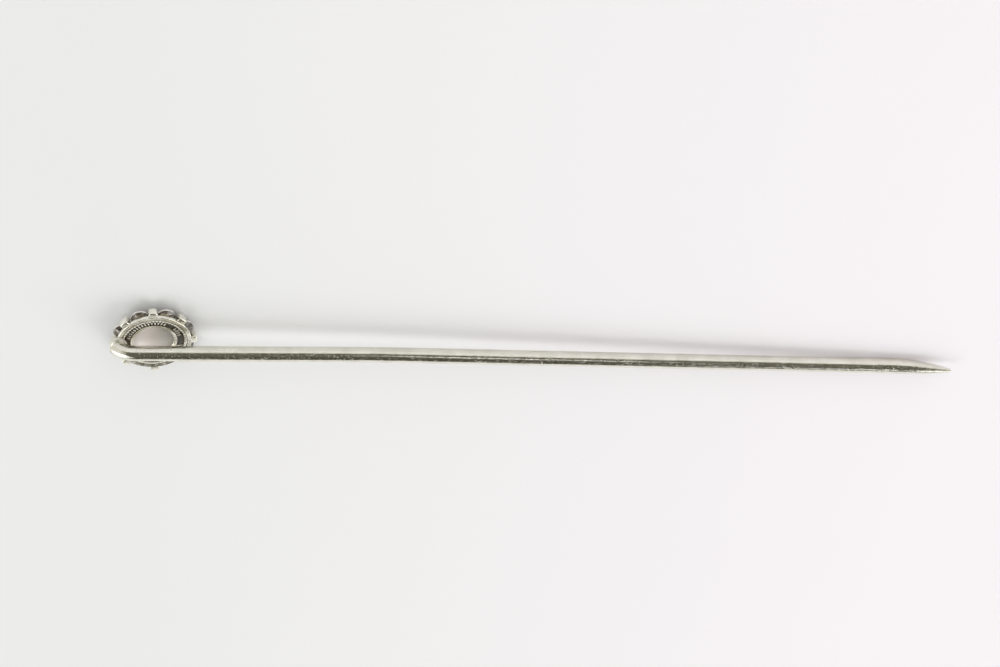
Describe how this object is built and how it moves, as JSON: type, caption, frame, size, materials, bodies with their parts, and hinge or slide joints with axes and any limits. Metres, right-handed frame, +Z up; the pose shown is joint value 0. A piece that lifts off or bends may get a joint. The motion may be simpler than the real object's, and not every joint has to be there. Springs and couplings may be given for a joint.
{
  "type": "stick pin",
  "caption": "Long pointed pin wire soldered to the back of a small round cluster head: a domed centre stone in a collet ringed by small clear stones in shared claws.",
  "frame": {"origin": "on the table, under the middle of the pin's box, with the pin lying face down as it is laid aside", "axes": "+X runs along the pin toward its point, +Z is up from the table, and +Y completes a right-handed frame"},
  "size_m": [0.0602, 0.006, 0.0028],
  "materials": {
    "pin_metal": "polished, finely scratched",
    "setting_metal": "polished, worn",
    "solder_metal": "satin",
    "milky_cabochon": "milky stone, polished",
    "clear_stone": "cut and polished"
  },
  "bodies": {
    "root": {"pin_wire": "pin_metal", "heel_solder": "solder_metal", "back_ring": "setting_metal", "gallery_plate": "setting_metal", "centre_collet": "setting_metal", "centre_stone": "milky_cabochon", "claw_1": "setting_metal", "claw_2": "setting_metal", "claw_3": "setting_metal", "claw_4": "setting_metal", "claw_5": "setting_metal", "claw_6": "setting_metal", "claw_7": "setting_metal", "claw_8": "setting_metal", "halo_stone_1": "clear_stone", "halo_stone_2": "clear_stone", "halo_stone_3": "clear_stone", "halo_stone_4": "clear_stone", "halo_stone_5": "clear_stone", "halo_stone_6": "clear_stone", "halo_stone_7": "clear_stone", "halo_stone_8": "clear_stone"}
  },
  "joints": []
}
